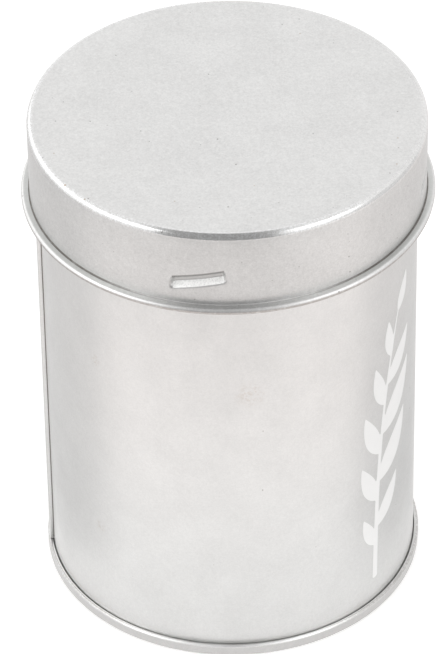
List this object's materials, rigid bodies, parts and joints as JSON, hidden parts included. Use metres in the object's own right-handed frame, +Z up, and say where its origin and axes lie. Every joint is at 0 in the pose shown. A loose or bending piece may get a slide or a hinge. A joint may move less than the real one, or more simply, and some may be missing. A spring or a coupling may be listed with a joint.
{
  "type": "candle tin",
  "caption": "Round tinplate slip-lid tin: straight body with folded side seam and double-seamed base, deep flat lid with turned-out lip and stamped gripping dashes that pulls straight off.",
  "frame": {"origin": "centre of the base, on the surface that the tin stands on", "axes": "+Z up along the tin's axis, out of its mouth; -Y is the front, the side with the first stamped dash; +X is the side nearest to the printed sprig, and the folded side seam is at -X"},
  "size_m": [0.0834, 0.0834, 0.11],
  "materials": {
    "tinplate_lid": "satin silver tinplate, fine matt grain, lightly worn at the edges",
    "tinplate_body": null,
    "tinplate_end": "satin silver tinplate, bright along the rolled seam",
    "sealing_compound": "matt grey-green"
  },
  "bodies": {
    "tin_body": {"body_wall": "tinplate_body", "bottom_end": "tinplate_end", "seam_compound": "sealing_compound"},
    "lid": {"lid": "tinplate_lid"}
  },
  "joints": [
    {"name": "lid_lift", "type": "slide", "parent": "tin_body", "child": "lid", "axis": [0, 0, 1], "range_m": [0, 0.04]}
  ]
}
